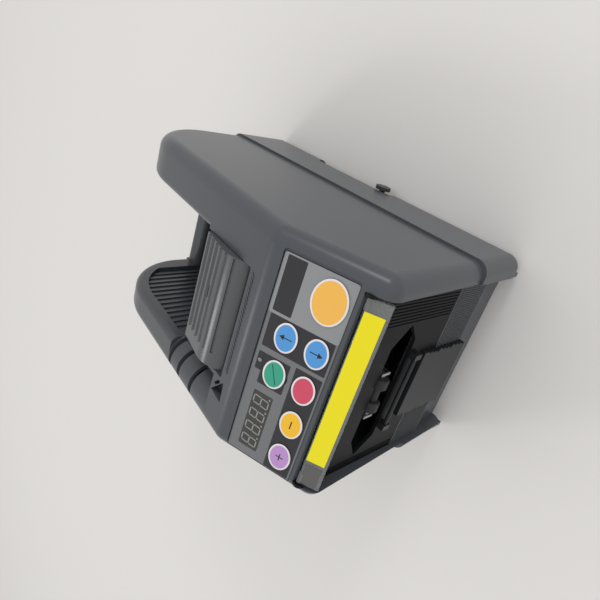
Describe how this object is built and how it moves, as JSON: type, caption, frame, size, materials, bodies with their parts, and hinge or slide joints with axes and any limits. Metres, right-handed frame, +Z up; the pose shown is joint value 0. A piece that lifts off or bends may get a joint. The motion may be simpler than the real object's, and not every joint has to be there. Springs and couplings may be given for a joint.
{
  "type": "electric tape dispenser",
  "caption": "Grey desktop electric adhesive tape dispenser with sloped key panel, hinged tape guide, roll well, feed rollers and cutter",
  "frame": {"origin": "on the table, centred under the case's footprint", "axes": "+X to the user's right, -Y towards the user (the outlet side), +Z up"},
  "size_m": [0.1298, 0.2274, 0.1523],
  "materials": {
    "case_abs": "fine matte moulded ABS, mid blue-grey",
    "front_abs": "black moulded ABS, fine ribs on both sides",
    "guide_abs": "mid grey moulded ABS",
    "inner_acetal": "natural white acetal",
    "black_acetal": "black acetal",
    "overlay_film": "printed polyester film, silver grey, dark fields, no lettering",
    "window_tint": "smoked clear window",
    "key_purple": "satin key cap, purple with pale rim",
    "key_yellow": "satin key cap, yellow with pale rim",
    "key_pink": "satin key cap, pinkish red with pale rim",
    "key_green": "satin key cap, green with a pale diagonal",
    "key_blue": "satin key cap, blue with a dark arrow",
    "key_orange": "satin key cap, orange-yellow with pale rim",
    "frame_steel": "zinc-plated sheet and turned steel",
    "blade_steel": "ground blade steel",
    "screw_steel": "bright plated screws and pins",
    "roller_rubber": "dark silicone rubber roller",
    "wheel_rubber": "pale rubber wheels",
    "foot_rubber": "black rubber foot",
    "bush_brass": "sintered bush metal",
    "motor_can": "plated motor can",
    "board_green": "green circuit board",
    "part_black": "black moulded component",
    "cover_clear": "smoky clear acrylic",
    "label_yellow": "bare yellow strip, no print",
    "cradle_grey": "grey moulded roller",
    "lever_black": "dark moulded knob"
  },
  "bodies": {
    "case_body": {"upper_housing": "case_abs", "base_tray": "case_abs", "rubber_feet": "foot_rubber", "housing_screws": "screw_steel", "panel_overlay": "overlay_film", "display_window": "window_tint", "display_module": "part_black", "control_board": "board_green", "board_screws": "screw_steel", "dome_switches": "part_black", "front_plate": "front_abs", "catch_plate": "black_acetal", "rest_bar": "black_acetal", "side_frame_left": "frame_steel", "side_frame_right": "frame_steel", "frame_screws": "screw_steel", "tie_rods": "frame_steel", "blade_bar": "frame_steel", "fixed_blade": "blade_steel", "cutter_bridge": "frame_steel", "guide_rods": "frame_steel", "cutter_motor": "motor_can", "wheel_bracket": "frame_steel", "outlet_axle": "screw_steel", "roller_bushes": "bush_brass", "feed_motor": "motor_can", "idler_pin": "screw_steel", "guide_pin": "screw_steel", "cover_brackets": "part_black", "cradle_axles": "frame_steel", "power_jack": "part_black", "rocker_frame": "part_black", "power_board": "board_green"},
    "feed_roller_body": {"feed_shaft": "frame_steel", "feed_roller": "roller_rubber", "feed_gear": "inner_acetal"},
    "pinch_roller_body": {"pinch_shaft": "frame_steel", "pinch_roller": "roller_rubber"},
    "idler_body": {"idler_gear": "inner_acetal"},
    "pinion_body": {"motor_pinion": "inner_acetal"},
    "crank_body": {"cutter_crank": "frame_steel"},
    "blade_body": {"blade_carriage": "black_acetal", "moving_blade": "blade_steel", "blade_screws": "screw_steel"},
    "wheels_body": {"outlet_wheels": "wheel_rubber"},
    "guide_body": {"tape_guide": "guide_abs"},
    "cover_body": {"safety_cover": "cover_clear", "cover_label": "label_yellow"},
    "cradle_front_body": {"cradle_roller_front": "cradle_grey"},
    "cradle_rear_body": {"cradle_roller_rear": "cradle_grey"},
    "rocker_body": {"power_rocker": "front_abs"},
    "lever_body": {"lever_slider": "lever_black", "lever_knob": "lever_black"},
    "plus_key_body": {"plus_key": "key_purple"},
    "minus_key_body": {"minus_key": "key_yellow"},
    "select_key_body": {"select_key": "key_pink"},
    "mode_key_body": {"mode_key": "key_green"},
    "forward_key_body": {"forward_key": "key_blue"},
    "reverse_key_body": {"reverse_key": "key_blue"},
    "start_key_body": {"start_key": "key_orange"}
  },
  "joints": [
    {"name": "feed_roller_spin", "type": "hinge", "parent": "case_body", "child": "feed_roller_body", "pos_m": [0, -0.0465, 0.108], "axis": [1, 0, 0], "continuous": true},
    {"name": "pinch_roller_spin", "type": "hinge", "parent": "case_body", "child": "pinch_roller_body", "pos_m": [0, -0.0603, 0.12422], "axis": [1, 0, 0], "continuous": true},
    {"name": "idler_spin", "type": "hinge", "parent": "case_body", "child": "idler_body", "pos_m": [-0.0345, -0.0465, 0.083], "axis": [1, 0, 0], "continuous": true},
    {"name": "pinion_spin", "type": "hinge", "parent": "case_body", "child": "pinion_body", "pos_m": [-0.0345, -0.0465, 0.067], "axis": [1, 0, 0], "continuous": true},
    {"name": "cutter_crank_turn", "type": "hinge", "parent": "case_body", "child": "crank_body", "pos_m": [0.031, -0.086, 0.108], "axis": [1, 0, 0], "range_deg": [0, 80]},
    {"name": "blade_slide", "type": "slide", "parent": "case_body", "child": "blade_body", "axis": [0, 0, -1], "range_m": [0, 0.009]},
    {"name": "outlet_wheels_spin", "type": "hinge", "parent": "case_body", "child": "wheels_body", "pos_m": [-0.008, -0.105, 0.099], "axis": [1, 0, 0], "continuous": true},
    {"name": "tape_guide_hinge", "type": "hinge", "parent": "case_body", "child": "guide_body", "pos_m": [0.00475, -0.0085, 0.141], "axis": [-1, 0, 0], "range_deg": [0, 75]},
    {"name": "safety_cover_hinge", "type": "hinge", "parent": "case_body", "child": "cover_body", "pos_m": [-0.0025, -0.1032, 0.13174], "axis": [-1, 0, 0], "range_deg": [0, 75]},
    {"name": "cradle_front_spin", "type": "hinge", "parent": "case_body", "child": "cradle_front_body", "pos_m": [-0.00225, 0.02, 0.04], "axis": [1, 0, 0], "continuous": true},
    {"name": "cradle_rear_spin", "type": "hinge", "parent": "case_body", "child": "cradle_rear_body", "pos_m": [-0.00225, 0.073, 0.04], "axis": [1, 0, 0], "continuous": true},
    {"name": "power_rocker_tilt", "type": "hinge", "parent": "case_body", "child": "rocker_body", "pos_m": [0.012, 0.1058, 0.0175], "axis": [1, 0, 0], "range_deg": [0, 14]},
    {"name": "release_lever_slide", "type": "slide", "parent": "case_body", "child": "lever_body", "axis": [0, 1, 0], "range_m": [0, 0.045]},
    {"name": "plus_key_press", "type": "slide", "parent": "case_body", "child": "plus_key_body", "axis": [0, 0.3387, -0.9409], "range_m": [0, 0.0004], "stiffness_N_per_m": 3000},
    {"name": "minus_key_press", "type": "slide", "parent": "case_body", "child": "minus_key_body", "axis": [0, 0.3387, -0.9409], "range_m": [0, 0.0004], "stiffness_N_per_m": 3000},
    {"name": "select_key_press", "type": "slide", "parent": "case_body", "child": "select_key_body", "axis": [0, 0.3387, -0.9409], "range_m": [0, 0.0004], "stiffness_N_per_m": 3000},
    {"name": "mode_key_press", "type": "slide", "parent": "case_body", "child": "mode_key_body", "axis": [0, 0.3387, -0.9409], "range_m": [0, 0.0004], "stiffness_N_per_m": 3000},
    {"name": "forward_key_press", "type": "slide", "parent": "case_body", "child": "forward_key_body", "axis": [0, 0.3387, -0.9409], "range_m": [0, 0.0004], "stiffness_N_per_m": 3000},
    {"name": "reverse_key_press", "type": "slide", "parent": "case_body", "child": "reverse_key_body", "axis": [0, 0.3387, -0.9409], "range_m": [0, 0.0004], "stiffness_N_per_m": 3000},
    {"name": "start_key_press", "type": "slide", "parent": "case_body", "child": "start_key_body", "axis": [0, 0.3387, -0.9409], "range_m": [0, 0.0004], "stiffness_N_per_m": 3000}
  ],
  "couplings": [
    {"joint": "idler_spin", "follows": "feed_roller_spin", "ratio": -1.5},
    {"joint": "pinion_spin", "follows": "feed_roller_spin", "ratio": 2.5},
    {"joint": "pinch_roller_spin", "follows": "feed_roller_spin", "ratio": -1.625},
    {"joint": "cutter_crank_turn", "follows": "blade_slide", "rad_per_m": 155.14}
  ]
}
